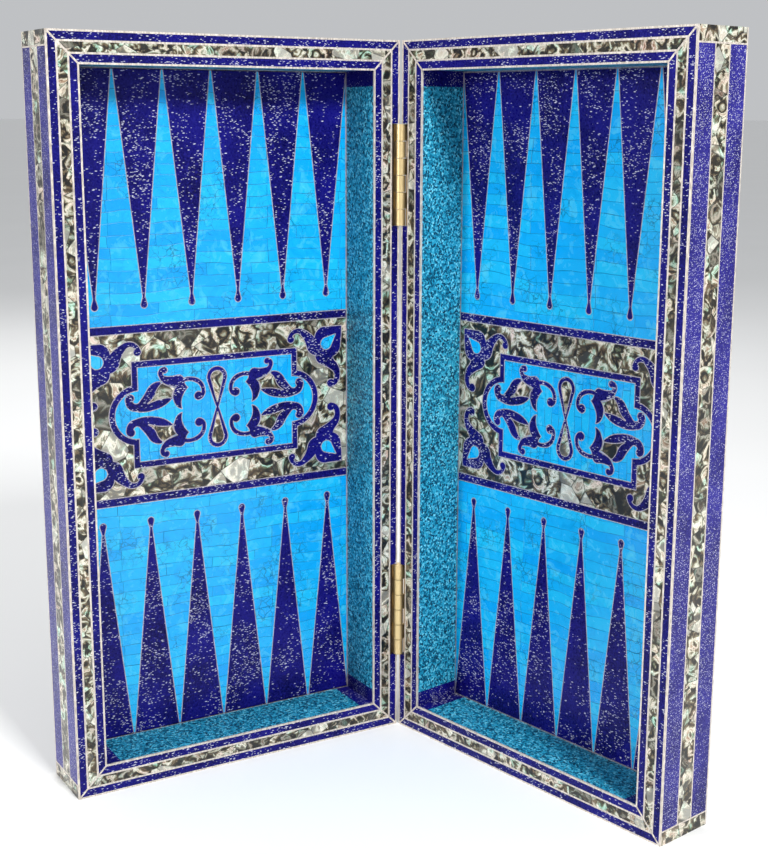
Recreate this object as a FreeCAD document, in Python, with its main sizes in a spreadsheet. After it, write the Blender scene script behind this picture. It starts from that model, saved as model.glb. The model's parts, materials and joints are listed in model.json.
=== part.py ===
import FreeCAD, Part
# Backgammon case: two identical inlaid trays, hinged along one long edge and standing open on their
# short ends. Lengths are in millimetres and angles in degrees. The row frame has +Z up and its origin at
# the middle of the footprint. Each tray is drawn lying on its back: X runs across it from the hinge pins,
# Y along its length and Z from its back up to its rim. The tray's Placement then stands it up.
import math
import os
import re
import Sketcher
from FreeCAD import Placement, Rotation, Vector

SIZES = {
    "tray_length": 500.0,       # along the hinged edge
    "tray_width": 249.0,
    "tray_depth": 47.0,         # rim plane to back
    "well_depth": 38.5,         # rim plane to playing surface
    "pin_side": 1.0,            # pin axis beyond the hinge-side face
    "pin_front": 0.15,          # pin axis in front of the rim plane
    "open_turn": 80.0,          # right tray's turn back from lying flat
    "rim_width": 20.5,
    "face_skin": 1.2,           # stone on the rim and on the back
    "side_skin": 2.0,           # stone on the four outer sides
    "wall_skin": 2.0,           # stone on the four inner walls
    "floor_skin": 2.0,          # stone on the playing surface
    "board_lap": 4.0,           # how far the base board is let into the rails
    "rim_wire": 1.2,
    "side_wire": 1.0,
    "fine_wire": 0.6,
    "floor_wire": 1.0,          # wire round the foot of the walls
    "rim_lapis": 4.8,
    "side_lapis": 15.0,
    "cap_length": 9.0,          # shell at the ends of every outer side
    "back_lapis": 20.0,
    "back_shell": 13.0,
    "wall_band": 10.5,          # lapis at the ends of every inner wall
    "point_count": 6,
    "neck_reach": 79.5,         # these reaches are from the middle of the tray's length
    "neck_half": 0.5,
    "drop_reach": 83.0,         # a drop's tip lies inside its point's neck
    "drop_centre": 75.0,
    "drop_radius": 2.1,
    "band_near": 56.5,
    "band_far": 61.5,
    "frame_half_x": 62.4,
    "frame_half_y": 36.7,
    "frame_band": 3.7,
    "lobe_reach": 79.3,
    "lobe_radius": 20.7,
    "loop_radius": 7.3,         # lapis figure of eight
    "loop_centre": 21.2,
    "loop_waist": 1.8,
    "loop_band": 3.0,
    "hinge_length": 70.0,
    "hinge_inset": 91.0,        # tray end to hinge middle
    "knuckle_count": 6,
    "knuckle_radius": 3.6,
    "knuckle_gap": 0.45,
    "leaf_thick": 2.0,
    "leaf_reach": 20.0,
    "leaf_clear": 0.15,
    "notch_width": 6.0,
    "notch_depth": 4.2,
    "pin_radius": 1.25,
    "pin_clear": 0.05,
    "screw_pitch": 25.0,
    "screw_inset": 12.5,        # rim plane to screw axis
    "screw_head": 3.0,
    "screw_sink": 1.6,
    "screw_core": 1.4,
    "screw_length": 13.0,
    "slot_width": 0.9,
    "slot_depth": 0.9,
}

# The scrolls of one quarter of the playing surface, as distances across and along from its middle.
# The first point starts the outline. Each later step is an arc (through, to), or a straight line (to,).
CALYX = (
    (25.2, 22.4),
    ((26.5, 24.2), (29.2, 24.9)),
    ((33.5, 24.3), (38.0, 24.7)),
    ((40.1, 25.9), (40.1, 28.0)),
    ((38.2, 27.5), (36.9, 29.3)),
    ((38.0, 31.1), (40.4, 31.1)),
    ((43.2, 28.4), (42.6, 24.8)),
    ((40.2, 21.0), (36.4, 18.9)),
    ((33.2, 17.9), (30.0, 17.0)),
    ((32.9, 11.2), (31.8, 6.2)),
    ((29.8, 3.1), (26.8, 1.5)),
    ((27.3, 6.6), (25.6, 11.5)),
    ((24.0, 13.9), (22.2, 15.9)),
    ((23.9, 17.8), (24.7, 20.2)),
    ((19.8, 20.5), (15.4, 18.8)),
    ((12.2, 15.4), (11.8, 11.0)),
    ((14.6, 12.1), (17.0, 9.4)),
    ((15.6, 7.0), (12.8, 6.9)),
    ((10.0, 9.2), (9.2, 13.0)),
    ((12.3, 19.7), (18.6, 22.5)),
    ((22.0, 22.9), (25.2, 22.4)),
)
LEAVES = (
    (42.4, 21.4),
    ((47.7, 20.4), (52.0, 16.0)),
    ((54.6, 12.2), (57.4, 8.9)),
    ((60.3, 7.6), (62.7, 9.8)),
    ((61.7, 12.6), (64.2, 14.4)),
    ((67.0, 12.7), (67.4, 9.6)),
    ((65.8, 5.6), (61.0, 3.1)),
    ((54.5, 1.9), (47.0, 2.7)),
    ((39.8, 4.9), (34.0, 9.2)),
    ((38.0, 13.0),),
    ((42.4, 21.4),),
)
LEAF_SHELL = (
    (31.8, 16.0),
    ((36.2, 17.7), (40.9, 20.1)),
    ((44.0, 17.0), (45.6, 13.4)),
    ((47.9, 10.0), (51.4, 7.4)),
    ((43.5, 9.6), (34.2, 10.1)),
    ((33.6, 13.3), (31.8, 16.0)),
)
CORNER = (
    (99.0, 50.3),
    ((86.0, 50.3),),
    ((80.0, 48.4), (77.4, 42.8)),
    ((73.4, 46.3), (67.0, 49.9)),
    ((60.0, 49.5), (55.9, 44.7)),
    ((56.3, 41.4), (58.7, 40.8)),
    ((60.5, 42.6), (59.2, 45.2)),
    ((62.8, 47.3), (66.5, 45.4)),
    ((69.2, 41.6), (70.8, 37.2)),
    ((73.2, 32.6), (77.9, 30.4)),
    ((78.8, 26.4), (82.0, 23.6)),
    ((87.0, 21.3), (91.0, 18.6)),
    ((93.6, 15.0), (92.6, 10.6)),
    ((89.6, 11.5), (87.3, 8.9)),
    ((88.6, 6.5), (91.2, 6.0)),
    ((96.0, 8.9), (97.8, 14.2)),
    ((96.9, 20.0), (93.4, 25.0)),
    ((92.4, 26.6), (91.9, 28.4)),
    ((96.4, 31.4), (98.2, 37.0)),
    ((98.9, 43.5), (99.0, 50.3)),
)
EYE_CENTRE = (86.6, 38.2)
EYE_TIP = (94.2, 44.4)
EYE_RADIUS = 4.2
SPECK_AREA = 0.1    # offcuts between two outlines smaller than this are left out

STAND_UP = Rotation(Vector(1, 0, 0), 90)
ALONG_Y = Rotation(Vector(1, 0, 0), -90)

doc = FreeCAD.newDocument("backgammon_case")
sheet = doc.addObject("Spreadsheet::Sheet", "Sizes")
for row, (alias, size) in enumerate(SIZES.items(), start=1):
    sheet.set("A%d" % row, alias)
    sheet.set("B%d" % row, str(size))
    sheet.setAlias("B%d" % row, alias)
doc.recompute()
nodes = []


def value(alias):
    return float(getattr(sheet, alias))


def expression(words):
    """Point every alias in the words at its cell."""
    return re.sub(r"[a-z_]+", lambda m: "Sizes." + m.group() if m.group() in SIZES else m.group(), words)


def bind(item, **properties):
    """Bind properties of an object to the sheet. A double underscore stands for a dot."""
    for name, words in properties.items():
        item.setExpression(name.replace("__", "."), expression(words))


def keep(item, label, placement):
    """Make an object a node of the assembly."""
    item.Label = label
    item.Placement = placement
    nodes.append(item)
    return item


def group(kind, label, **links):
    item = doc.addObject(kind, label)
    for name, parts in links.items():
        setattr(item, name, parts)
    return item


def footprint_middle():
    """The middle of the open case's footprint, from the pin axis."""
    turn = math.radians(value("open_turn"))
    far = value("pin_side") + value("tray_width")
    front = value("pin_front")
    back = front + value("tray_depth")
    right_x = far * math.cos(turn) + back * math.sin(turn)
    front_y = -far * math.sin(turn) + front * math.cos(turn)
    return Vector((right_x - far) / 2, (front_y + back) / 2, 0)


class Tray:
    """One tray's names, placement and coordinates. The left tray is the right one's mirror image."""

    def __init__(self, name, sign):
        self.name = name
        self.sign = sign
        turn = value("open_turn") if sign > 0 else 0.0
        lift = Placement(Vector(0, value("pin_front") + value("tray_depth"), 0), STAND_UP)
        swing = Placement(-footprint_middle(), Rotation(Vector(0, 0, 1), -turn))
        self.placement = swing.multiply(lift)
        middle_x = sign * (value("pin_side") + value("tray_width") / 2)
        self.middle = Vector(middle_x, value("tray_length") / 2, 0)

    def label(self, piece):
        return self.name + "_" + piece

    def across(self, near, far):
        """The lower X of a span between two distances from the hinge side."""
        if self.sign > 0:
            return "pin_side + (%s)" % near
        return "-(pin_side + (%s))" % far

    def at(self, distance):
        """The X of one distance from the hinge side."""
        return "%d * (pin_side + (%s))" % (self.sign, distance)

    def box(self, label, near, far, start, end, low, high):
        """A block: near and far from the hinge side, start and end along, low and high from the back."""
        block = doc.addObject("Part::Box", self.label(label))
        bind(block, Length="(%s) - (%s)" % (far, near), Width="(%s) - (%s)" % (end, start),
             Height="(%s) - (%s)" % (high, low), Placement__Base__x=self.across(near, far),
             Placement__Base__y=start, Placement__Base__z=low)
        return block

    def ring(self, label, outer, inner, low, high):
        """A rectangular ring between two distances in from the tray's four sides."""
        solid = self.box(label + "_outer", outer, "tray_width - (%s)" % outer,
                         outer, "tray_length - (%s)" % outer, low, high)
        hole = self.box(label + "_inner", inner, "tray_width - (%s)" % inner,
                        inner, "tray_length - (%s)" % inner, low, high)
        return group("Part::Cut", self.label(label + "_ring"), Base=solid, Tool=hole)


def origin_plane(body, role):
    for feature in body.Origin.OriginFeatures:
        if feature.Role == role:
            return feature
    raise ValueError("no plane " + role)


def sketch_on(body, name, role, offset):
    sketch = body.newObject("Sketcher::SketchObject", name)
    sketch.AttachmentSupport = [(origin_plane(body, role), "")]
    sketch.MapMode = "FlatFace"
    bind(sketch, AttachmentOffset__Base__z=offset)
    return sketch


def fix_point(sketch, geometry, corner, x, y):
    """Hold one point of a sketch at two sheet-driven distances from its origin."""
    for kind, words in (("DistanceX", x), ("DistanceY", y)):
        index = sketch.addConstraint(Sketcher.Constraint(kind, -1, 1, geometry, corner, 1.0))
        sketch.setExpression("Constraints[%d]" % index, expression(words))


def draw_polygon(sketch, corners):
    """A closed outline whose corners are pairs of sheet expressions."""
    count = len(corners)
    turn = 2 * math.pi / count
    ring = [Vector(100 * math.cos(i * turn), 100 * math.sin(i * turn), 0) for i in range(count + 1)]
    first = sketch.GeometryCount
    for start, end in zip(ring, ring[1:]):
        sketch.addGeometry(Part.LineSegment(start, end), False)
    for i in range(count):
        following = first + (i + 1) % count
        sketch.addConstraint(Sketcher.Constraint("Coincident", first + i, 2, following, 1))
    for i, (x, y) in enumerate(corners):
        fix_point(sketch, first + i, 1, x, y)


def draw_circle(sketch, x, y, radius):
    geometry = sketch.addGeometry(Part.Circle(Vector(1, 1, 0), Vector(0, 0, 1), 1.0), False)
    fix_point(sketch, geometry, 3, x, y)
    index = sketch.addConstraint(Sketcher.Constraint("Radius", geometry, 1.0))
    sketch.setExpression("Constraints[%d]" % index, expression(radius))


def padded_body(tray, piece, polygons, low, thickness):
    """A body with one pad, standing on the level low above the tray's back."""
    body = doc.addObject("PartDesign::Body", tray.label(piece))
    body.AllowCompound = True
    sketch = sketch_on(body, tray.label(piece) + "_outline", "XY_Plane", low)
    for corners in polygons:
        draw_polygon(sketch, corners)
    pad = body.newObject("PartDesign::Pad", tray.label(piece) + "_pad")
    pad.Profile = sketch
    bind(pad, Length=thickness)
    sketch.Visibility = False
    return keep(body, tray.label(piece), tray.placement)


def cut_pocket(body, sketch, depth, forwards):
    """Cut a sketch into a body, along its normal when forwards, and make sure that it cuts."""
    doc.recompute()
    before = body.Shape.Volume
    pocket = body.newObject("PartDesign::Pocket", sketch.Name + "_pocket")
    pocket.Profile = sketch
    pocket.Reversed = forwards
    bind(pocket, Length=depth)
    doc.recompute()
    if body.Shape.Volume >= before:
        raise ValueError(pocket.Name + " cuts nothing")


def rectangle(tray, near, far, start, end):
    return [(tray.at(near), start), (tray.at(far), start), (tray.at(far), end), (tray.at(near), end)]


def frame_strip(tray, edge, outer, inner, gap):
    """A strip along one edge of the tray, mitred at both ends, gap short of the diagonals."""
    from_end = "tray_length - (%s)"
    from_side = "tray_width - (%s)"
    outer_end = "%s + %s" % (outer, gap)
    inner_end = "%s + %s" % (inner, gap)
    long_side = [(outer, outer_end), (inner, inner_end),
                 (inner, from_end % inner_end), (outer, from_end % outer_end)]
    short_side = [(outer_end, outer), (from_side % outer_end, outer),
                  (from_side % inner_end, inner), (inner_end, inner)]
    if edge == "hinge":
        corners = long_side
    elif edge == "closing":
        corners = [(from_side % u, v) for u, v in long_side]
    elif edge == "bottom":
        corners = short_side
    else:
        corners = [(u, from_end % v) for u, v in short_side]
    return [(tray.at(u), v) for u, v in corners]


EDGES = ("hinge", "closing", "bottom", "top")
HINGE_MIDDLES = {"lower": "hinge_inset", "upper": "tray_length - hinge_inset"}
HALF_NOTCH = "hinge_length / 2 + leaf_clear"
BOARD_TOP = "tray_depth - well_depth - floor_skin"
MITRE_GAP = "rim_wire * 0.7071"


def add_wood(tray):
    """Four mitred rails, grooved for the base board, and the board itself."""
    inner = "rim_width - wall_skin"
    lap = "%s - board_lap" % inner
    names = {"hinge": "hinge_stile", "closing": "closing_stile", "bottom": "bottom_rail", "top": "top_rail"}
    for edge in EDGES:
        corners = frame_strip(tray, edge, "side_skin", inner, "0")
        body = padded_body(tray, names[edge], [corners], "face_skin", "tray_depth - 2 * face_skin")
        rebate = sketch_on(body, body.Label + "_rebate", "XY_Plane", "face_skin")
        draw_polygon(rebate, rectangle(tray, lap, "tray_width - (%s)" % lap, lap, "tray_length - (%s)" % lap))
        cut_pocket(body, rebate, BOARD_TOP + " - face_skin", True)
        if edge == "hinge":
            cut_hinge_seats(tray, body)
    board = tray.box("board", lap, "tray_width - (%s)" % lap, lap, "tray_length - (%s)" % lap,
                     "face_skin", BOARD_TOP)
    keep(group("Part::Compound", tray.label("base_board"), Links=[board]),
         tray.label("base_board"), tray.placement)


def cut_hinge_seats(tray, stile):
    """Room for the knuckles along the front edge, and the screws' holes."""
    notches = sketch_on(stile, stile.Label + "_notches", "XY_Plane", "tray_depth - face_skin")
    for middle in HINGE_MIDDLES.values():
        start = "%s - (%s)" % (middle, HALF_NOTCH)
        end = "%s + %s" % (middle, HALF_NOTCH)
        draw_polygon(notches, rectangle(tray, "side_skin / 2", "notch_width", start, end))
    cut_pocket(stile, notches, "notch_depth - face_skin", False)
    holes = sketch_on(stile, stile.Label + "_screw_holes", "YZ_Plane", tray.at("side_skin"))
    for middle in HINGE_MIDDLES.values():
        for step in (-1, 0, 1):
            along = "%s + %d * screw_pitch" % (middle, step)
            draw_circle(holes, along, "tray_depth - screw_inset", "screw_core")
    cut_pocket(stile, holes, "screw_length - leaf_thick", tray.sign > 0)


def add_rim(tray):
    """Lapis, shell and lapis strips round the rim, with wires between them and on the mitres."""
    low = "tray_depth - face_skin"
    first = ("rim_wire", "rim_wire + rim_lapis")
    shell = ("2 * rim_wire + rim_lapis", "rim_width - 2 * rim_wire - rim_lapis")
    second = ("rim_width - rim_wire - rim_lapis", "rim_width - rim_wire")
    strips = [frame_strip(tray, edge, *span, MITRE_GAP) for edge in EDGES[1:] for span in (first, second)]
    strips.append(frame_strip(tray, "hinge", *second, MITRE_GAP))
    starts = ["rim_wire", "hinge_inset + %s" % HALF_NOTCH, "tray_length - hinge_inset + %s" % HALF_NOTCH]
    ends = ["hinge_inset - (%s)" % HALF_NOTCH, "tray_length - hinge_inset - (%s)" % HALF_NOTCH,
            "tray_length - rim_wire"]
    for start, end in zip(starts, ends):
        corners = [[first[0], start], [first[1], start], [first[1], end], [first[0], end]]
        if start == "rim_wire":
            corners[0][1] = "%s + %s" % (first[0], MITRE_GAP)
            corners[1][1] = "%s + %s" % (first[1], MITRE_GAP)
        if end == "tray_length - rim_wire":
            corners[2][1] = "tray_length - (%s + %s)" % (first[1], MITRE_GAP)
            corners[3][1] = "tray_length - (%s + %s)" % (first[0], MITRE_GAP)
        strips.append([(tray.at(u), v) for u, v in corners])
    padded_body(tray, "rim_lapis", strips, low, "face_skin")
    shells = [frame_strip(tray, edge, *shell, MITRE_GAP) for edge in EDGES]
    padded_body(tray, "rim_shell", shells, low, "face_skin")

    spans = [("0", "rim_wire"), (first[1], shell[0]), (shell[1], second[0]), (second[1], "rim_width")]
    wires = [tray.ring("rim_wire_%d" % i, *span, low, "tray_depth") for i, span in enumerate(spans)]
    low_x = tray.across("0", "tray_width")
    high_x = low_x + " + tray_width"
    corners = [(low_x, "0", 45, (1, 0)), (high_x, "0", 135, (0, 1)),
               (high_x, "tray_length", 225, (-1, 0)), (low_x, "tray_length", 315, (0, -1))]
    for i, (x, y, angle, shift) in enumerate(corners):
        bar = doc.addObject("Part::Box", tray.label("rim_mitre_wire_%d" % i))
        bar.Placement = Placement(Vector(), Rotation(Vector(0, 0, 1), angle))
        bind(bar, Length="rim_width * 1.4142 - rim_wire", Width="rim_wire", Height="face_skin",
             Placement__Base__x="%s + %d * %s" % (x, shift[0], MITRE_GAP),
             Placement__Base__y="%s + %d * %s" % (y, shift[1], MITRE_GAP), Placement__Base__z=low)
        wires.append(bar)
    whole = group("Part::MultiFuse", tray.label("rim_wires_whole"), Shapes=wires)
    cut = group("Part::Cut", tray.label("rim_wires"), Base=whole, Tool=hinge_room(tray, "rim_wires"))
    keep(cut, tray.label("rim_wires"), tray.placement)


def hinge_room(tray, piece):
    """The space that the two hinges take out of the stone and the wires."""
    spaces = []
    for where, middle in HINGE_MIDDLES.items():
        start = "%s - (%s)" % (middle, HALF_NOTCH)
        end = "%s + %s" % (middle, HALF_NOTCH)
        name = "%s_room_%s" % (piece, where)
        spaces.append(tray.box(name + "_knuckles", "-pin_side / 2", "notch_width", start, end,
                               "tray_depth - notch_depth", "tray_depth + pin_side"))
        spaces.append(tray.box(name + "_leaf", "-pin_side / 2", "side_skin", start, end,
                               "tray_depth - leaf_reach - leaf_clear", "tray_depth + pin_side"))
    return group("Part::MultiFuse", tray.label(piece + "_room"), Shapes=spaces)


def side_blocks(tray, piece, side, start, end, low, high):
    """A strip of an outer side's stone. Start and end run along that side."""
    far_end = "tray_length - side_skin"
    far_side = "tray_width - side_skin"
    name = "%s_%s" % (piece, side)
    if side == "hinge":
        return tray.box(name, "0", "side_skin", start, end, low, high)
    if side == "closing":
        return tray.box(name, far_side, "tray_width", start, end, low, high)
    if side == "bottom":
        return tray.box(name, start, end, "0", "side_skin", low, high)
    return tray.box(name, start, end, far_end, "tray_length", low, high)


def add_sides(tray):
    """Stone on the four outer sides and the back, with its wires."""
    top = "tray_depth - face_skin"
    lapis, shell, wires = [], [], []
    high_wire = "%s - side_lapis - side_wire" % top
    low_wire = "face_skin + side_lapis + side_wire"
    for side in EDGES:
        long_side = side in ("hinge", "closing")
        length = "tray_length" if long_side else "tray_width"
        first = "side_skin" if long_side else "0"
        cap = "cap_length"
        strip = (cap + " + side_wire", "%s - cap_length - side_wire" % length)
        front = "%s - side_lapis" % top
        back = "face_skin + side_lapis"
        lapis.append(side_blocks(tray, "side_lapis_front", side, *strip, front, top))
        lapis.append(side_blocks(tray, "side_lapis_back", side, *strip, "face_skin", back))
        shell.append(side_blocks(tray, "side_shell", side, *strip, low_wire, high_wire))
        shell.append(side_blocks(tray, "side_cap_start", side, first, cap, "face_skin", top))
        shell.append(side_blocks(tray, "side_cap_end", side, "%s - %s" % (length, cap),
                                 "%s - %s" % (length, first), "face_skin", top))
        wires.append(side_blocks(tray, "side_wire_front", side, *strip, high_wire, front))
        wires.append(side_blocks(tray, "side_wire_back", side, *strip, back, low_wire))
        wires.append(side_blocks(tray, "side_wire_start", side, cap, strip[0], "face_skin", top))
        wires.append(side_blocks(tray, "side_wire_end", side, strip[1], "%s + side_wire" % strip[1],
                                 "face_skin", top))
    borders = ["0", "rim_wire", "rim_wire + back_lapis", "2 * rim_wire + back_lapis",
               "2 * rim_wire + back_lapis + back_shell", "3 * rim_wire + back_lapis + back_shell"]
    for i in (0, 2, 4):
        wires.append(tray.ring("back_wire_%d" % i, borders[i], borders[i + 1], "0", "face_skin"))
    for name, pieces in (("side_lapis", lapis), ("side_shell", shell), ("outer_wires", wires)):
        whole = group("Part::Compound", tray.label(name + "_whole"), Links=pieces)
        cut = group("Part::Cut", tray.label(name), Base=whole, Tool=hinge_room(tray, name))
        keep(cut, tray.label(name), tray.placement)

    border = tray.ring("back_border", borders[1], borders[2], "0", "face_skin")
    field = tray.box("back_field", borders[5], "tray_width - (%s)" % borders[5],
                     borders[5], "tray_length - (%s)" % borders[5], "0", "face_skin")
    keep(group("Part::Compound", tray.label("back_lapis"), Links=[border, field]),
         tray.label("back_lapis"), tray.placement)
    keep(tray.ring("back_shell", borders[3], borders[4], "0", "face_skin"),
         tray.label("back_shell"), tray.placement)


def add_walls(tray):
    """Crushed turquoise on the inner walls, with a lapis band at each end of each wall."""
    inner = "rim_width - wall_skin"
    far = "tray_width - rim_width"
    spans = {
        "hinge": (inner, "rim_width", "rim_width", "tray_length - rim_width"),
        "closing": (far, far + " + wall_skin", "rim_width", "tray_length - rim_width"),
        "bottom": ("rim_width", far, inner, "rim_width"),
        "top": ("rim_width", far, "tray_length - rim_width", "tray_length - (%s)" % inner),
    }
    turquoise, lapis = [], []
    top = "tray_depth - face_skin"
    for edge, (near, away, start, end) in spans.items():
        if edge in ("hinge", "closing"):
            cuts = [(near, away, start, start + " + wall_band"),
                    (near, away, start + " + wall_band", end + " - wall_band"),
                    (near, away, end + " - wall_band", end)]
        else:
            cuts = [(near, near + " + wall_band", start, end),
                    (near + " + wall_band", away + " - wall_band", start, end),
                    (away + " - wall_band", away, start, end)]
        lapis.append(tray.box("wall_lapis_%s_start" % edge, *cuts[0], BOARD_TOP, top))
        turquoise.append(tray.box("wall_turquoise_%s" % edge, *cuts[1], BOARD_TOP, top))
        lapis.append(tray.box("wall_lapis_%s_end" % edge, *cuts[2], BOARD_TOP, top))
    keep(group("Part::Compound", tray.label("wall_turquoise"), Links=turquoise),
         tray.label("wall_turquoise"), tray.placement)
    keep(group("Part::Compound", tray.label("wall_lapis"), Links=lapis),
         tray.label("wall_lapis"), tray.placement)


def upward(face):
    """The face with its normal up, so that neighbours can be joined."""
    if face.normalAt(0, 0).z < 0:
        return face.reversed()
    return face


def curved_face(outline):
    """A flat face from a start point and a run of arcs and lines."""
    here = Vector(*outline[0], 0)
    edges = []
    for step in outline[1:]:
        there = Vector(*step[-1], 0)
        if len(step) == 1:
            edges.append(Part.LineSegment(here, there).toShape())
        else:
            edges.append(Part.Arc(here, Vector(*step[0], 0), there).toShape())
        here = there
    return upward(Part.Face(Part.Wire(edges)))


def rectangle_face(half_x, low_y, high_y):
    return Part.makePlane(2 * half_x, high_y - low_y, Vector(-half_x, low_y, 0))


def drop_face(centre, radius, tip):
    """A teardrop: a round end and two straight sides that touch it and meet at the tip."""
    centre = Vector(*centre, 0)
    tip = Vector(*tip, 0)
    along = tip - centre
    spread = math.acos(radius / along.Length)
    towards = math.atan2(along.y, along.x)
    touch = [centre + Vector(math.cos(towards + turn), math.sin(towards + turn), 0) * radius
             for turn in (spread, -spread)]
    back = centre - along.normalize() * radius
    arc = Part.Arc(touch[0], back, touch[1]).toShape()
    sides = [Part.LineSegment(touch[1], tip).toShape(), Part.LineSegment(tip, touch[0]).toShape()]
    return upward(Part.Face(Part.Wire([arc] + sides)))


def grown(face, amount):
    return upward(face.makeOffset2D(amount, 0, False, False, False).Faces[0])


def mirrored(faces, *directions):
    """The faces and their mirror images across each direction through the middle."""
    result = list(faces)
    for direction in directions:
        result += [upward(face.mirror(Vector(), direction)) for face in result]
    return result


ACROSS = Vector(1, 0, 0)
ALONG = Vector(0, 1, 0)


def united(faces):
    return faces[0].multiFuse(faces[1:]).removeSplitter()


def point_faces():
    """The playing points: long wedges from both ends, each with a drop at the end of its neck."""
    half_field = value("tray_width") / 2 - value("rim_width")
    base_reach = value("tray_length") / 2 - value("rim_width") - value("floor_wire")
    pitch = 2 * half_field / value("point_count")
    half_base = pitch / 2 - value("floor_wire")
    neck = value("neck_half")
    faces = []
    for i in range(int(value("point_count"))):
        x = -half_field + pitch * (i + 0.5)
        corners = [(x - half_base, base_reach), (x - neck, value("neck_reach")),
                   (x + neck, value("neck_reach")), (x + half_base, base_reach), (x - half_base, base_reach)]
        wedge = upward(Part.Face(Part.makePolygon([Vector(*corner, 0) for corner in corners])))
        drop = drop_face((x, value("drop_centre")), value("drop_radius"), (x, value("drop_reach")))
        faces.append(united([wedge, drop]).Faces[0])
    return mirrored(faces, ALONG)


def cartouche_face(inset):
    """The rectangle with a round lobe at each end, drawn in by inset on all sides."""
    x = value("frame_half_x") - inset
    y = value("frame_half_y") - inset
    reach = value("lobe_reach") - inset
    radius = value("lobe_radius") - inset
    step = x - (reach - radius)
    meet = math.sqrt(radius ** 2 - step ** 2)
    outline = ((-x, y), ((x, y),), ((x, meet),), ((reach, 0), (x, -meet)), ((x, -y),),
               ((-x, -y),), ((-x, -meet),), ((-reach, 0), (-x, meet)), ((-x, y),))
    return curved_face(outline)


def loop_face(inset):
    """Half of the figure of eight, or the shell drop inside it."""
    centre = (0, value("loop_centre"))
    radius = value("loop_radius") - inset
    return drop_face(centre, radius, (0, inset * 1.9 - value("loop_waist")))


def floor_faces():
    """Every stone, shell and wire face of the playing surface, about its middle."""
    wire = value("fine_wire")
    half_x = value("tray_width") / 2 - value("rim_width")
    half_y = value("tray_length") / 2 - value("rim_width")
    edge = value("floor_wire")
    inner_x = half_x - edge
    points = point_faces()
    bands = mirrored([rectangle_face(inner_x, value("band_near"), value("band_far"))], ALONG)
    far = value("band_far") + wire
    near = value("band_near") - wire
    fields = mirrored([rectangle_face(inner_x, far, half_y - edge)], ALONG)
    rim_of_points = united([grown(face, wire) for face in points])

    frame_inner = cartouche_face(value("frame_band"))
    frame = cartouche_face(0).cut(frame_inner)
    plate = cartouche_face(value("frame_band") + wire)
    shells = mirrored([curved_face(LEAF_SHELL)], ACROSS, ALONG)
    shells += mirrored([loop_face(value("loop_band"))], ALONG)
    shell_rims = united([grown(face, wire) for face in shells])
    eight = united(mirrored([loop_face(0)], ALONG))
    calyces = mirrored([curved_face(CALYX)], ACROSS, ALONG)
    calyx_rims = united([grown(face, wire) for face in calyces])
    leaves = mirrored([curved_face(LEAVES)], ACROSS, ALONG)
    scroll_rims = united([grown(face, wire) for face in leaves + calyces + eight.Faces] + shell_rims.Faces)
    leaves = [face.cut([calyx_rims, shell_rims]) for face in leaves]
    scrolls = leaves + [face.cut(shell_rims) for face in calyces] + [eight.cut(shell_rims)]

    eyes = mirrored([drop_face(EYE_CENTRE, EYE_RADIUS, EYE_TIP)], ACROSS, ALONG)
    corners = mirrored([curved_face(CORNER)], ACROSS, ALONG)
    corner_rims = [grown(face, wire) for face in corners]
    eye_rims = [grown(face, wire) for face in eyes]
    outer_frame = grown(cartouche_face(0), wire)
    ground = rectangle_face(inner_x, -near, near).cut([outer_frame] + corner_rims)

    inside = rectangle_face(inner_x, edge - half_y, half_y - edge)
    wires = [rectangle_face(half_x, -half_y, half_y).cut(inside)]
    wires += mirrored([rectangle_face(inner_x, near, value("band_near")),
                       rectangle_face(inner_x, value("band_far"), far)], ALONG)
    wires.append(rim_of_points.cut(points))
    wires.append(outer_frame.cut(cartouche_face(0)))
    wires.append(frame_inner.cut(plate))
    wires.append(scroll_rims.cut(scrolls + shells))
    wires += [rim.cut(face) for rim, face in zip(corner_rims, corners)]
    wires += [rim.cut(eye) for rim, eye in zip(eye_rims, eyes)]
    return {
        "floor_turquoise": [field.cut(rim_of_points) for field in fields],
        "points_lapis": points,
        "bands_lapis": bands,
        "centre_shell": [ground],
        "shell_drops": shells,
        "cartouche_frame": [frame],
        "cartouche_turquoise": [plate.cut(scroll_rims)],
        "arabesques_lapis": scrolls,
        "corners_lapis": [corner.cut(rim) for corner, rim in zip(corners, eye_rims)],
        "corner_drops": eyes,
        "floor_wires": wires,
    }


def add_floor(tray, pieces):
    """Inlays of the playing surface: curved outlines cut to each other and edged with fine wire."""
    level = Vector(0, 0, value("tray_depth") - value("well_depth") - value("floor_skin"))
    for piece, shapes in pieces.items():
        flat = [face.translated(tray.middle + level)
                for shape in shapes for face in shape.Faces if face.Area > SPECK_AREA]
        item = doc.addObject("Part::Feature", tray.label(piece))
        item.Shape = Part.makeCompound([face.extrude(Vector(0, 0, value("floor_skin"))) for face in flat])
        keep(item, tray.label(piece), tray.placement)


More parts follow.
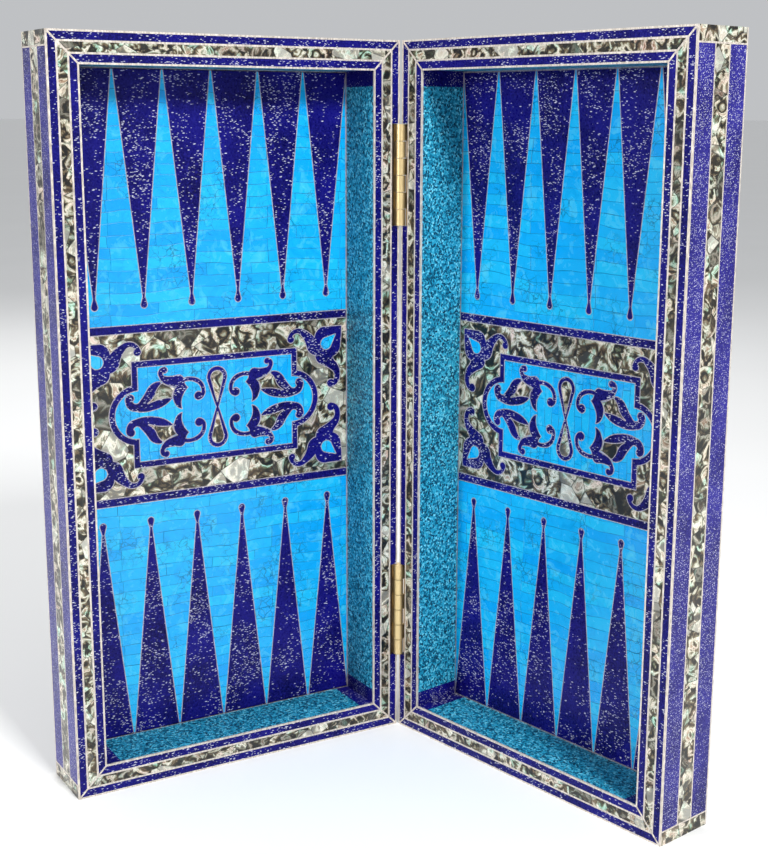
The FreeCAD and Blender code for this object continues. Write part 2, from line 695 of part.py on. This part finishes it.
def add_screws(tray, where):
    """Three countersunk screws of one leaf, each with a slot across its head."""
    turn = Rotation(Vector(0, 1, 0), 90 * tray.sign)
    blanks, screws = [], []
    for step in (-1, 0, 1):
        name = tray.label("screw_%s_%d" % (where, step + 1))
        head = doc.addObject("Part::Cone", name + "_head")
        bind(head, Radius1="screw_head", Radius2="screw_core", Height="screw_sink")
        core = doc.addObject("Part::Cylinder", name + "_core")
        bind(core, Radius="screw_core", Height="screw_length")
        along = "%s + %d * screw_pitch" % (HINGE_MIDDLES[where], step)
        for item in (head, core):
            item.Placement = Placement(Vector(), turn)
            bind(item, Placement__Base__x=tray.at("0"), Placement__Base__y=along,
                 Placement__Base__z="tray_depth - screw_inset")
        blank = group("Part::Fuse", name + "_blank", Base=head, Tool=core)
        slot = tray.box("slot_%s_%d" % (where, step + 1), "0", "slot_depth",
                        along + " - slot_width / 2", along + " + slot_width / 2",
                        "tray_depth - screw_inset - screw_head", "tray_depth - screw_inset + screw_head")
        blanks.append(blank)
        screws.append(group("Part::Cut", name, Base=blank, Tool=slot))
    return blanks, screws


def pin_cylinder(name, radius, start, length):
    """A cylinder on the pin axis."""
    item = doc.addObject("Part::Cylinder", name)
    item.Placement = Placement(Vector(), ALONG_Y)
    bind(item, Radius=radius, Height=length, Placement__Base__y=start,
         Placement__Base__z="tray_depth + pin_front")
    return item


def add_leaf(tray, where, screw_blanks):
    """A hinge leaf: a plate let into the side, with every other knuckle of the barrel."""
    middle = HINGE_MIDDLES[where]
    start = "%s - hinge_length / 2" % middle
    name = "%s_hinge_leaf" % where
    plate = tray.box(name + "_plate", "0", "leaf_thick", start, start + " + hinge_length",
                     "tray_depth - leaf_reach", "tray_depth - notch_depth")
    parts = [plate]
    pitch = "hinge_length / knuckle_count"
    first = 0 if tray.sign < 0 else 1
    for i in range(first, int(value("knuckle_count")), 2):
        low = "%s + %d * %s + knuckle_gap / 2" % (start, i, pitch)
        length = "%s - knuckle_gap" % pitch
        parts.append(tray.box("%s_web_%d" % (name, i), "0", "leaf_thick", low, "%s + %s" % (low, length),
                              "tray_depth - notch_depth", "tray_depth + pin_front"))
        parts.append(pin_cylinder(tray.label("%s_knuckle_%d" % (name, i)), "knuckle_radius", low, length))
    blank = group("Part::MultiFuse", tray.label(name + "_blank"), Shapes=parts)
    bore = "pin_radius" if tray.sign < 0 else "pin_radius + pin_clear"
    hole = pin_cylinder(tray.label(name + "_bore"), bore, start, "hinge_length")
    sinks = group("Part::MultiFuse", tray.label(name + "_cuts"), Shapes=[hole] + screw_blanks)
    leaf = group("Part::Cut", tray.label(name), Base=blank, Tool=sinks)
    keep(leaf, tray.label(name), tray.placement)


def add_hinges(tray):
    all_screws = []
    for where in HINGE_MIDDLES:
        blanks, screws = add_screws(tray, where)
        add_leaf(tray, where, blanks)
        all_screws += screws
    keep(group("Part::Compound", tray.label("hinge_screws"), Links=all_screws),
         tray.label("hinge_screws"), tray.placement)


def add_pins(tray):
    pins = []
    for where, middle in HINGE_MIDDLES.items():
        start = "%s - hinge_length / 2 + knuckle_gap / 2" % middle
        pins.append(pin_cylinder("pin_" + where, "pin_radius", start, "hinge_length - knuckle_gap"))
    keep(group("Part::Compound", "hinge_pins", Links=pins), "hinge_pins", tray.placement)


trays = [Tray("left", -1), Tray("right", 1)]
inlays = floor_faces()
for tray in trays:
    add_wood(tray)
    add_rim(tray)
    add_sides(tray)
    add_walls(tray)
    add_floor(tray, inlays)
    add_hinges(tray)
add_pins(trays[0])
doc.recompute()

for item in doc.Objects:
    if "Invalid" in item.State or "Error" in item.State:
        raise ValueError(item.Label + " failed")
for node in nodes:
    if node.Shape.isNull() or not node.Shape.isValid() or not node.Shape.Solids:
        raise ValueError(node.Label + " has no valid solid")

os.makedirs("parts", exist_ok=True)
for node in nodes:
    node.Shape.exportStep("parts/%s.step" % node.Label)
    box = node.Shape.BoundBox
    print("%-28s solids %3d  volume %9.1f  x %7.1f..%7.1f  y %7.1f..%7.1f  z %6.1f..%6.1f" % (
        node.Label, len(node.Shape.Solids), node.Shape.Volume,
        box.XMin, box.XMax, box.YMin, box.YMax, box.ZMin, box.ZMax))
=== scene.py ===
import json
import math

import bpy
from mathutils import Matrix, Vector


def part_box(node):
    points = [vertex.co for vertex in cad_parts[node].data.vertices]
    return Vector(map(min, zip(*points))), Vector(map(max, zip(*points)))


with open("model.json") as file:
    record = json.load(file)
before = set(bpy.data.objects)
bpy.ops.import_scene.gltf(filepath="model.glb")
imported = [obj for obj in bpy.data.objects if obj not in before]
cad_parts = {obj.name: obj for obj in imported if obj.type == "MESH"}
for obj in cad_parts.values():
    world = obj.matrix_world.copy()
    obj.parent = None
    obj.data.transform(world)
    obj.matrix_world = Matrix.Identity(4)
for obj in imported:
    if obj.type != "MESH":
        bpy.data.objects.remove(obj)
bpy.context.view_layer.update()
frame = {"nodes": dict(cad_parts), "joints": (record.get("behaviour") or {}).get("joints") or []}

MM = 0.001
HINGE = frame["joints"][0]
PIN = Vector(HINGE["pos_m"])
OPEN_TURN = math.radians(80)            # how far the right tray stands from lying flat
TRAY_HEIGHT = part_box("left_rim_wires")[1].z
LARGE_CHIP = 16                         # shell chips in the middle panels, in millimetres
SMALL_CHIP = 12                         # and in the borders
FLOOR_SIZE = 400                        # metres, so that its end is the horizon


# ---------------------------------------------------------------- camera

def add_camera():
    """The camera stands in front of the hinge and to its left, a little below the top of the case."""
    distance_left = 0.53278
    distance_front = 0.87269
    height = 0.44876
    heading = math.radians(59.213)
    pitch = math.radians(-12.121)
    roll = math.radians(0.18)
    focal_length = 60.887
    film_width = 36
    data = bpy.data.cameras.new("camera")
    data.lens = focal_length
    data.sensor_width = film_width
    camera = bpy.data.objects.new("camera", data)
    place = Matrix.Translation((PIN.x - distance_left, PIN.y - distance_front, height))
    facing = Matrix.Rotation(heading - math.pi / 2, 4, "Z")
    tilt = Matrix.Rotation(math.pi / 2 + pitch, 4, "X")
    camera.matrix_world = place @ (facing @ tilt) @ Matrix.Rotation(roll, 4, "Z")
    bpy.context.scene.collection.objects.link(camera)
    bpy.context.scene.camera = camera


# ---------------------------------------------------------------- node helpers

class Nodes:
    """A short way to write a material's nodes. Values and sockets can be mixed in any input."""

    def __init__(self, name):
        self.material = bpy.data.materials.new(name)
        self.material.use_nodes = True
        self.tree = self.material.node_tree
        self.shader = self.tree.nodes["Principled BSDF"]

    def put(self, socket, item):
        """Link a socket to the input, or set the input to a value. None leaves it alone."""
        if isinstance(item, bpy.types.NodeSocket):
            self.tree.links.new(item, socket)
        elif item is not None:
            socket.default_value = item

    def add(self, kind, inputs=(), output=0, **settings):
        """Add a node, fill the inputs that are named, and return one of its outputs."""
        node = self.tree.nodes.new(kind)
        for name, setting in settings.items():
            setattr(node, name, setting)
        for key, item in dict(inputs).items():
            self.put(node.inputs[key], item)
        return node.outputs[output]

    def math(self, operation, a, b=None, c=None):
        node = self.tree.nodes.new("ShaderNodeMath")
        node.operation = operation
        for socket, item in zip(node.inputs, (a, b, c)):
            self.put(socket, item)
        return node.outputs[0]

    def vector(self, operation, a, b=None, scale=None):
        node = self.tree.nodes.new("ShaderNodeVectorMath")
        node.operation = operation
        self.put(node.inputs[0], a)
        self.put(node.inputs[1], b)
        if scale is not None:
            self.put(node.inputs["Scale"], scale)
        return node.outputs[0]

    def axis(self, vector, index):
        return self.add("ShaderNodeSeparateXYZ", {"Vector": vector}, index)

    def channel(self, color, index=0):
        return self.add("ShaderNodeSeparateColor", {"Color": color}, index)

    def map(self, item, low, high, to_low=0.0, to_high=1.0):
        """Stretch low..high to to_low..to_high, and hold what lies beyond at those ends."""
        return self.add("ShaderNodeMapRange", {"Value": item, "From Min": low, "From Max": high,
                                               "To Min": to_low, "To Max": to_high})

    def mix(self, factor, a, b, blend="MIX"):
        node = self.tree.nodes.new("ShaderNodeMix")
        node.data_type = "RGBA"
        node.blend_type = blend
        self.put(node.inputs[0], factor)
        self.put(node.inputs[6], a)
        self.put(node.inputs[7], b)
        return node.outputs[2]

    def ramp(self, factor, stops):
        """Colours along a factor, each stop being its position and its colour."""
        node = self.tree.nodes.new("ShaderNodeValToRGB")
        elements = node.color_ramp.elements
        while len(elements) < len(stops):
            elements.new(0.5)
        for element, (position, color) in zip(elements, stops):
            element.position = position
            element.color = (*color, 1)
        self.put(node.inputs[0], factor)
        return node.outputs[0]

    def noise(self, place, scale, detail=2.0, distortion=0.0, output="Fac", roughness=0.5):
        return self.add("ShaderNodeTexNoise", {"Vector": place, "Scale": scale, "Detail": detail,
                                               "Distortion": distortion, "Roughness": roughness}, output)

    def cells(self, place, scale, output="Distance", feature="F1"):
        return self.add("ShaderNodeTexVoronoi", {"Vector": place, "Scale": scale}, output, feature=feature)

    def bump(self, height, depth, strength):
        """Relief of the given depth in millimetres."""
        normal = self.add("ShaderNodeBump", {"Height": height, "Distance": depth * MM, "Strength": strength})
        self.put(self.shader.inputs["Normal"], normal)

    def finish(self, **sockets):
        """Fill the shader's own sockets and return the material."""
        for name, item in sockets.items():
            self.put(self.shader.inputs[name.replace("_", " ")], item)
        return self.material


def rgb(red, green, blue):
    return (red, green, blue, 1.0)


def case_place(n):
    """Millimetres in the frame's directions."""
    return n.vector("SCALE", n.add("ShaderNodeTexCoord", output="Object"), scale=1 / MM)


def tray_place(n, side):
    """Millimetres in the tray's own directions: X across, Y deep and Z along it."""
    coordinates = n.add("ShaderNodeTexCoord", output="Object")
    turn = OPEN_TURN if side == "right" else 0.0
    shift = PIN - Matrix.Rotation(turn, 3, "Z") @ PIN
    mapped = n.add("ShaderNodeMapping", {"Vector": coordinates, "Rotation": (0, 0, turn), "Location": shift})
    return n.vector("SCALE", mapped, scale=1 / MM)


# ---------------------------------------------------------------- materials

def lapis(side, outer):
    """Deep blue crushed lapis set with crowds of pale slivers, paler and busier on the outer sides."""
    n = Nodes("lapis_%s_%s" % ("outer" if outer else "inner", side))
    place = tray_place(n, side)
    if outer:
        deep, light, bright = rgb(0.006, 0.004, 0.09), rgb(0.022, 0.018, 0.21), rgb(0.045, 0.04, 0.32)
        sparse, crowded, gloss = 0.20, 0.60, 0.2
    else:
        deep, light, bright = rgb(0.0015, 0.001, 0.05), rgb(0.005, 0.004, 0.15), rgb(0.012, 0.011, 0.22)
        sparse, crowded, gloss = 0.40, 0.64, 0.14
    color = n.mix(n.map(n.noise(place, 0.03, 3), 0.3, 0.7), deep, light)
    grain = n.noise(place, 0.8, 3)
    color = n.mix(n.map(grain, 0.5, 0.8), color, bright)
    crowd = n.map(n.noise(place, 0.04, 3), sparse, crowded)
    flecks = slivers(n, place, crowd)
    pale = n.mix(n.noise(place, 0.5, 1), rgb(0.16, 0.17, 0.36), rgb(0.95, 0.95, 1.0))
    color = n.mix(n.math("MULTIPLY", flecks, 0.8), color, pale)
    n.bump(grain, 0.03, 0.4)
    rough = n.map(grain, 0.3, 0.8, 0.24, 0.44)
    return n.finish(Base_Color=color, Roughness=rough, Specular_IOR_Level=gloss)


def slivers(n, place, crowd):
    """Long thin cells laid in three directions. A share of them holds a sliver, more where it is crowded."""
    closeness = (0.45, 1.15, 1.25)      # cells to a millimetre in each direction
    least_share, added_share = 0.04, 0.36
    end, core = 0.34, 0.20              # from a cell's middle: where a sliver ends, and where it is whole
    flecks = None
    for angle, fineness in ((0.6, 1.0), (2.1, 0.95), (-0.4, 0.66)):
        turned = n.add("ShaderNodeMapping", {"Vector": place, "Rotation": (angle / 2, angle, angle / 3),
                                             "Scale": [fineness * rate for rate in closeness]})
        chance = n.channel(n.cells(turned, 1.0, "Color"))
        limit = n.math("MULTIPLY_ADD", crowd, -added_share, 1 - least_share)
        chosen = n.math("GREATER_THAN", chance, limit)
        here = n.math("MULTIPLY", chosen, n.map(n.cells(turned, 1.0), end, core))
        flecks = here if flecks is None else n.math("MAXIMUM", flecks, here)
    return flecks


def turquoise(side, upright):
    """Slips of turquoise laid side by side, with dark joints and spider veins."""
    n = Nodes("turquoise_%s_%s" % ("upright" if upright else "level", side))
    place = tray_place(n, side)
    sway = n.vector("SCALE", n.noise(place, 0.022, 2, output="Color"), scale=9.0)
    swayed = n.vector("ADD", place, sway)
    along, across = n.axis(swayed, 2), n.axis(swayed, 0)
    if upright:
        length, width = 19.0, 6.6
        flat = n.add("ShaderNodeCombineXYZ", {"X": along, "Y": across})
    else:
        length, width = 58.0, 7.7
        flat = n.add("ShaderNodeCombineXYZ", {"X": across, "Y": along})
    brick = {"Vector": flat, "Color1": rgb(0, 0, 0), "Color2": rgb(1, 1, 1), "Mortar": rgb(0.5, 0.5, 0.5),
             "Scale": 1.0, "Mortar Size": 0.32, "Mortar Smooth": 0.8, "Brick Width": length,
             "Row Height": width}
    laid = {"offset": 0.37, "offset_frequency": 3, "squash": 0.6, "squash_frequency": 3}
    slip = n.add("ShaderNodeTexBrick", brick, 0, **laid)
    joint = n.add("ShaderNodeTexBrick", brick, 1, **laid)
    color = n.mix(slip, rgb(0.0, 0.31, 0.74), rgb(0.008, 0.43, 0.75))
    mottle = n.noise(place, 0.10, 5, 0.8, roughness=0.6)
    color = n.mix(n.map(mottle, 0.54, 0.74, 0, 0.8), color, rgb(0.07, 0.52, 0.74))
    color = n.mix(n.map(mottle, 0.44, 0.28, 0, 0.6), color, rgb(0.0, 0.26, 0.62))
    wander = n.vector("ADD", place, n.vector("SCALE", n.noise(place, 0.25, 3, output="Color"), scale=5.0))
    web = n.map(n.cells(wander, 0.17, feature="DISTANCE_TO_EDGE"), 0.06, 0.0)
    patch = n.map(n.noise(place, 0.035, 2), 0.50, 0.64)
    vein = n.math("MULTIPLY", web, patch)
    color = n.mix(n.math("MULTIPLY", vein, 0.8), color, rgb(0.0, 0.09, 0.16))
    worn = n.map(n.noise(place, 0.05, 3), 0.35, 0.62, 0.25, 0.95)
    color = n.mix(n.math("MULTIPLY", joint, worn), color, rgb(0.0, 0.12, 0.26))
    n.bump(n.math("SUBTRACT", 1.0, joint), 0.15, 0.7)
    return n.finish(Base_Color=color, Roughness=n.map(mottle, 0.3, 0.8, 0.18, 0.36), Specular_IOR_Level=0.4)


def crushed_turquoise(side):
    """Walls of crushed turquoise in resin: fine angular grains from nearly black to pale."""
    n = Nodes("crushed_turquoise_" + side)
    place = tray_place(n, side)
    grain = n.channel(n.cells(place, 0.75, "Color"))
    fine = n.channel(n.cells(place, 1.5, "Color"))
    mixed = n.math("ADD", n.math("MULTIPLY", grain, 0.7), n.math("MULTIPLY", fine, 0.3))
    color = n.ramp(mixed, ((0.10, (0.0, 0.015, 0.04)), (0.3, (0.002, 0.08, 0.15)), (0.5, (0.008, 0.22, 0.36)),
                           (0.74, (0.03, 0.36, 0.54)), (0.9, (0.22, 0.66, 0.78))))
    n.bump(mixed, 0.05, 0.5)
    return n.finish(Base_Color=color, Roughness=n.map(mixed, 0.0, 1.0, 0.5, 0.3), Specular_IOR_Level=0.3)


def shell(side, chip_size):
    """Abalone: chips with black growth lines, silver, olive, rose and green sheen."""
    n = Nodes("shell_%d_%s" % (chip_size, side))
    place = tray_place(n, side)
    scale = 1.0 / chip_size
    full_turn = 6.28
    far_apart = 90.0                    # gives each chip a stretch of the pattern of its own
    chip = n.cells(place, scale, "Color")
    middle = n.cells(place, scale)
    edge = n.cells(place, scale, feature="DISTANCE_TO_EDGE")
    tone, turn, kind = (n.channel(chip, index) for index in range(3))
    turned = n.add("ShaderNodeVectorRotate", {"Vector": place, "Axis": (0.3, 1.0, 0.1),
                                              "Angle": n.math("MULTIPLY", turn, full_turn)})
    own = n.vector("ADD", turned, n.vector("SCALE", chip, scale=far_apart))
    swirl = n.noise(own, 1.1 * scale, 4, 1.4, roughness=0.55)
    straight = n.math("MULTIPLY", n.axis(turned, 0), scale)
    ringed = n.math("GREATER_THAN", kind, 0.55)
    path = n.add("ShaderNodeMix", {"Factor": ringed, 2: straight, 3: n.math("MULTIPLY", middle, 1.6)})
    phase = n.math("MULTIPLY_ADD", swirl, 17.0, n.math("MULTIPLY", path, 7.0))
    growth = n.math("MULTIPLY_ADD", n.math("SINE", phase), 0.32, n.math("MULTIPLY", swirl, 0.94))
    color = n.ramp(growth, (
        (0.12, (0.004, 0.005, 0.005)), (0.24, (0.035, 0.028, 0.018)), (0.36, (0.15, 0.11, 0.065)),
        (0.47, (0.26, 0.22, 0.15)), (0.57, (0.34, 0.38, 0.30)), (0.67, (0.58, 0.60, 0.52)),
        (0.77, (0.92, 0.89, 0.80)), (0.89, (0.40, 0.29, 0.21))))
    tint = n.ramp(n.noise(own, 0.07, 2, 0.8), (
        (0.32, (0.45, 0.95, 0.80)), (0.45, (1.0, 0.98, 0.88)),
        (0.58, (0.84, 0.74, 0.60)), (0.70, (1.0, 0.74, 0.68))))
    color = n.mix(0.7, color, tint, "MULTIPLY")
    hair = n.math("SINE", n.math("MULTIPLY", growth, 70.0))
    color = n.mix(n.map(hair, 0.6, 1.0, 0, 0.55), color, rgb(0.012, 0.012, 0.012))
    color = n.mix(n.map(tone, 0.62, 1.0, 0, 0.8), color, rgb(0.012, 0.013, 0.012))
    color = n.mix(n.map(tone, 0.16, 0.0, 0, 0.5), color, rgb(0.80, 0.80, 0.70))
    color = n.mix(n.map(edge, 0.03, 0.0, 0, 0.85), color, rgb(0.02, 0.02, 0.018))
    n.bump(growth, 0.15, 0.5)
    return n.finish(Base_Color=color, Roughness=n.map(growth, 0.3, 0.7, 0.30, 0.14), Metallic=0.25,
                    Coat_Weight=0.2)


def wire(side, dull):
    """Flush drawn wire, rubbed down with the stone: creamy on the rim, greyer on the playing surface."""
    n = Nodes("wire_%s_%s" % ("dull" if dull else "bright", side))
    place = tray_place(n, side)
    rub = n.noise(n.vector("MULTIPLY", place, (1, 1, 0.3)), 0.9, 3)
    if dull:
        dark, light = rgb(0.20, 0.19, 0.22), rgb(0.48, 0.42, 0.46)
    else:
        dark, light = rgb(0.40, 0.35, 0.30), rgb(0.76, 0.69, 0.61)
    color = n.mix(n.map(rub, 0.3, 0.7), dark, light)
    n.bump(rub, 0.03, 0.4)
    return n.finish(Base_Color=color, Roughness=n.map(rub, 0.3, 0.8, 0.32, 0.5), Metallic=0.3)


def brass():
    """Drawn brass, slightly tarnished along the draw."""
    n = Nodes("brass")
    drawn = n.noise(n.vector("MULTIPLY", case_place(n), (2.5, 2.5, 0.12)), 1.0, 4)
    color = n.mix(drawn, rgb(0.56, 0.40, 0.17), rgb(0.90, 0.72, 0.40))
    n.bump(drawn, 0.02, 0.5)
    return n.finish(Base_Color=color, Roughness=n.map(drawn, 0.3, 0.8, 0.30, 0.46), Metallic=0.8)


def wood():
    """Carcass wood, seen only in the hinge seats: brown grain painted nearly black, as painted shade in the
    narrow seat gaps.
    """
    n = Nodes("wood_painted_gap_shade")
    grain = n.noise(n.vector("MULTIPLY", case_place(n), (0.6, 0.6, 0.03)), 1.0, 5, 0.4)
    # brown grain tones pushed nearly to black: painted shade for the gaps of the hinge seats
    color = n.ramp(grain, (
        (0.3, (0.012, 0.007, 0.005)), (0.5, (0.03, 0.016, 0.010)), (0.7, (0.06, 0.034, 0.02))))
    n.bump(grain, 0.08, 0.5)
    return n.finish(Base_Color=color, Roughness=n.map(grain, 0.3, 0.7, 0.6, 0.45))


# ---------------------------------------------------------------- dressing the CAD pieces

def finish_of(node, kinds):
    """The material for a piece, by what its name says that it is."""
    side = "right" if node.startswith("right") else "left"
    piece = node.split("_", 1)[1]
    if "hinge_leaf" in piece or "screws" in piece or node == "hinge_pins":
        return kinds["brass"]
    if "stile" in piece or "rail" in piece or "board" in piece:
        return kinds["wood"]
    if "wires" in piece:
        return kinds["dull wire" if piece == "floor_wires" else "bright wire", side]
    if piece == "wall_turquoise":
        return kinds["crushed", side]
    if piece in ("cartouche_turquoise", "corner_drops"):
        return kinds["upright", side]
    if piece == "floor_turquoise":
        return kinds["level", side]
    if piece in ("centre_shell", "shell_drops"):
        return kinds["large shell", side]
    if "shell" in piece:
        return kinds["small shell", side]
    return kinds["outer lapis" if piece == "side_lapis" else "inner lapis", side]


def dress():
    """Make each material once for each tray, so that its pattern follows the tray, and give them out."""
    kinds = {"brass": brass(), "wood": wood()}
    for side in ("left", "right"):
        kinds["inner lapis", side] = lapis(side, False)
        kinds["outer lapis", side] = lapis(side, True)
        kinds["level", side] = turquoise(side, False)
        kinds["upright", side] = turquoise(side, True)
        kinds["crushed", side] = crushed_turquoise(side)
        kinds["large shell", side] = shell(side, LARGE_CHIP)
        kinds["small shell", side] = shell(side, SMALL_CHIP)
        kinds["dull wire", side] = wire(side, True)
        kinds["bright wire", side] = wire(side, False)
    for node, item in frame["nodes"].items():
        item.data.materials.clear()
        item.data.materials.append(finish_of(node, kinds))


# ---------------------------------------------------------------- stage

def add_floor():
    """A plain pale floor that runs on to the horizon."""
    n = Nodes("studio_floor")
    paper = n.noise(n.add("ShaderNodeTexCoord", output="Object"), 2.5, 3)
    n.finish(Base_Color=n.mix(paper, rgb(0.88, 0.88, 0.87), rgb(0.92, 0.92, 0.91)), Roughness=0.75)
    bpy.ops.mesh.primitive_plane_add(size=FLOOR_SIZE, location=(0, 0, 0))
    floor = bpy.context.object
    floor.name = "studio_floor"
    floor.data.materials.append(n.material)


def add_surroundings():
    """Even, slightly cool light from all around, and colours shown as they are, with no film look."""
    world = bpy.data.worlds.new("studio")
    world.use_nodes = True
    sky = world.node_tree.nodes["Background"]
    sky.inputs["Color"].default_value = rgb(0.95, 0.97, 1.0)
    sky.inputs["Strength"].default_value = 0.55
    bpy.context.scene.world = world
    bpy.context.scene.view_settings.view_transform = "Standard"


def add_light(name, position, size, power):
    """A square light of this many watts, turned to the middle of the case's height."""
    data = bpy.data.lights.new(name, "AREA")
    data.size = size
    data.energy = power
    light = bpy.data.objects.new(name, data)
    target = Vector((0, 0, TRAY_HEIGHT / 2))
    aim = (target - Vector(position)).to_track_quat("-Z", "Y").to_matrix().to_4x4()
    light.matrix_world = Matrix.Translation(position) @ aim
    bpy.context.scene.collection.objects.link(light)


add_camera()
dress()
add_floor()
add_surroundings()
add_light("key", position=(0.0, -1.7, 1.55), size=0.4, power=46)
add_light("left", position=(-2.2, 0.02, 0.8), size=0.3, power=26)
add_light("back", position=(0.6, 1.8, 1.6), size=1.2, power=14)
